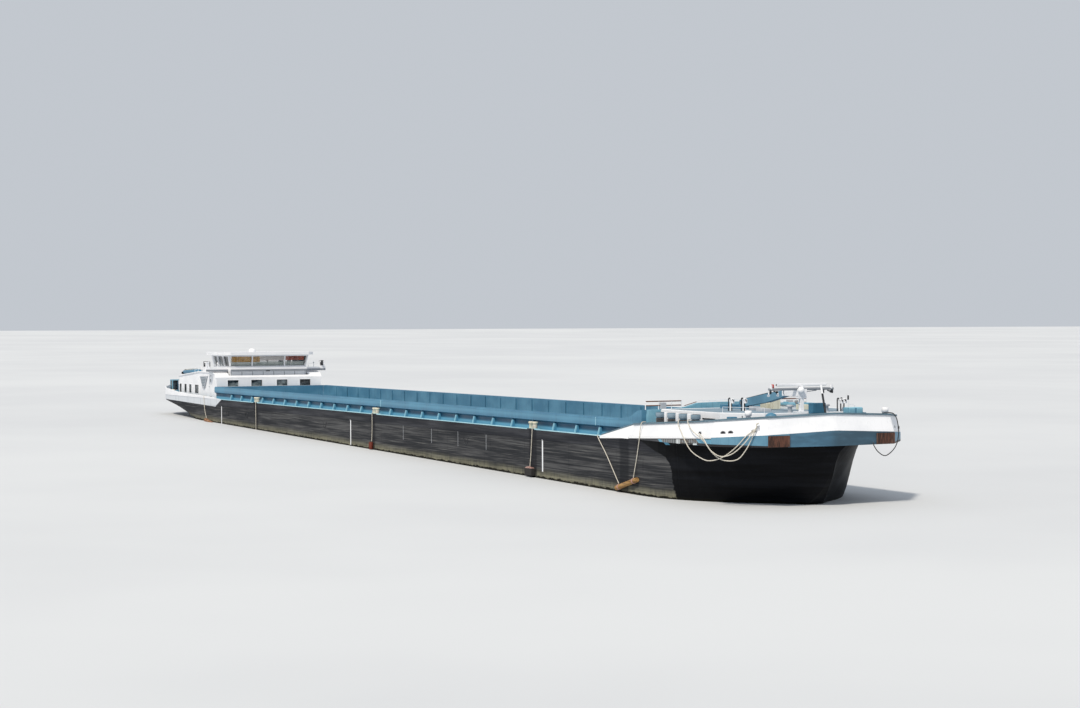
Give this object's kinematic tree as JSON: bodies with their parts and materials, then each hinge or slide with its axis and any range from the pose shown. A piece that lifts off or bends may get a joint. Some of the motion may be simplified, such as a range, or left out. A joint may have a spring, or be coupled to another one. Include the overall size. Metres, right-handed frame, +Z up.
{
  "type": "river barge, 1:10 scale model",
  "caption": "Self-propelled river cargo barge with a long open hold, steel coamings, a blunt railed bow with a folding foremast, and an aft deckhouse with a lifting wheelhouse.",
  "frame": {"origin": "on the floor under the middle of the hull's length and breadth", "axes": "+X to the bow, +Y to port, +Z up"},
  "size_m": [11, 1.1764, 0.83],
  "materials": {
    "hull": "weathered tar-grey hull paint",
    "steel_floor": "worn hold floor plate",
    "teal_paint": "satin paint",
    "blue_deck_paint": "matt deck paint",
    "rail_paint": "satin paint",
    "white_paint": "gloss paint",
    "black_paint": "bitumen paint",
    "bronze": "cast and machined",
    "iron": "painted casting",
    "window_glass": "tinted pane",
    "timber": "rough sawn",
    "fender_rubber": "moulded",
    "rope": "laid fibre rope"
  },
  "bodies": {
    "hull": {"hull_aft": "hull", "hull_engine_room": "hull", "hull_lift_well": "hull", "hull_fore": "hull", "double_bottom": "steel_floor", "wing_tank_port": "hull", "wing_tank_starboard": "hull", "coaming_port": "teal_paint", "coaming_starboard": "teal_paint", "hold_end_aft": "teal_paint", "hold_end_fore": "teal_paint", "bow_platform": "blue_deck_paint", "bow_bulwark": "white_paint", "bow_cap_rail": "rail_paint", "fender_board_starboard": "timber", "fender_board_port": "timber", "fore_trunk": "white_paint", "anchor_winch": "teal_paint", "foremast_foot": "teal_paint", "bow_staff": "white_paint", "stern_bulwark": "white_paint", "propeller_nozzle": "black_paint", "engine_block": "iron", "deckhouse_walls": "white_paint", "deckhouse_roof": "white_paint", "tender": "teal_paint", "lift_guide": "iron", "stern_shelter": "blue_deck_paint", "rope_bow_inner": "rope", "rope_bow_middle": "rope", "rope_bow_outer": "rope", "rope_bow_port": "rope", "rope_aft": "rope", "rope_side_aft": "rope", "rope_side_middle": "rope", "rope_side_fore": "rope", "rope_log_aft": "rope", "rope_log_fore": "rope", "fender_log": "timber", "fender_block": "fender_rubber", "fender_small": "timber", "fender_aft": "timber"},
    "hatch_lid": {"fore_hatch_lid": "blue_deck_paint"},
    "winch_drum": {"winch_drum": "iron"},
    "foremast_arm": {"foremast_arm": "teal_paint"},
    "foremast_head": {"foremast_head": "white_paint"},
    "radar_scanner": {"radar_scanner": "white_paint"},
    "propeller": {"propeller": "bronze"},
    "rudder_port": {"rudder_port": "black_paint"},
    "rudder_starboard": {"rudder_starboard": "black_paint"},
    "house_door_port": {"deckhouse_door_port": "white_paint"},
    "house_door_starboard": {"deckhouse_door_starboard": "white_paint"},
    "wheelhouse": {"wheelhouse_body": "white_paint", "wheelhouse_glass_front": "window_glass", "wheelhouse_glass_aft": "window_glass", "wheelhouse_glass_starboard": "window_glass", "wheelhouse_glass_port": "window_glass", "wheelhouse_roof": "white_paint", "lift_column": "blue_deck_paint"},
    "wheelhouse_door": {"wheelhouse_door": "white_paint"}
  },
  "joints": [
    {"name": "foremast_fold", "type": "hinge", "parent": "hull", "child": "foremast_arm", "pos_m": [4.62, 0, 0.583], "axis": [0, -1, 0], "range_deg": [0, 65]},
    {"name": "foremast_level", "type": "hinge", "parent": "foremast_arm", "child": "foremast_head", "pos_m": [5.045, 0, 0.646], "axis": [0, -1, 0], "range_deg": [-65, 0]},
    {"name": "radar_turn", "type": "hinge", "parent": "foremast_head", "child": "radar_scanner", "pos_m": [5.174, 0, 0.693], "axis": [0, 0, 1], "continuous": true},
    {"name": "winch_turn", "type": "hinge", "parent": "hull", "child": "winch_drum", "pos_m": [5.385, 0.174, 0.51], "axis": [0, 1, 0], "continuous": true},
    {"name": "hatch_hinge", "type": "hinge", "parent": "hull", "child": "hatch_lid", "pos_m": [4.73, 0.346, 0.5723], "axis": [-1, 0, 0], "range_deg": [0, 100]},
    {"name": "propeller_turn", "type": "hinge", "parent": "hull", "child": "propeller", "pos_m": [-4.92, 0, 0.1], "axis": [1, 0, 0], "continuous": true},
    {"name": "rudder_port_turn", "type": "hinge", "parent": "hull", "child": "rudder_port", "pos_m": [-5.05, 0.055, 0.12], "axis": [0, 0, 1], "range_deg": [-60, 60]},
    {"name": "rudder_starboard_turn", "type": "hinge", "parent": "hull", "child": "rudder_starboard", "pos_m": [-5.05, -0.055, 0.12], "axis": [0, 0, 1], "range_deg": [-60, 60]},
    {"name": "house_door_port_hinge", "type": "hinge", "parent": "hull", "child": "house_door_port", "pos_m": [-3.888, 0.492, 0.495], "axis": [0, 0, -1], "range_deg": [0, 95]},
    {"name": "house_door_starboard_hinge", "type": "hinge", "parent": "hull", "child": "house_door_starboard", "pos_m": [-3.888, -0.492, 0.495], "axis": [0, 0, 1], "range_deg": [0, 95]},
    {"name": "wheelhouse_lift", "type": "slide", "parent": "hull", "child": "wheelhouse", "axis": [0, 0, 1], "range_m": [0, 0.36]},
    {"name": "wheelhouse_door_slide", "type": "slide", "parent": "wheelhouse", "child": "wheelhouse_door", "axis": [1, 0, 0], "range_m": [0, 0.085]}
  ],
  "couplings": [
    {"joint": "foremast_level", "follows": "foremast_fold", "ratio": -1},
    {"joint": "rudder_starboard_turn", "follows": "rudder_port_turn", "ratio": 1}
  ]
}
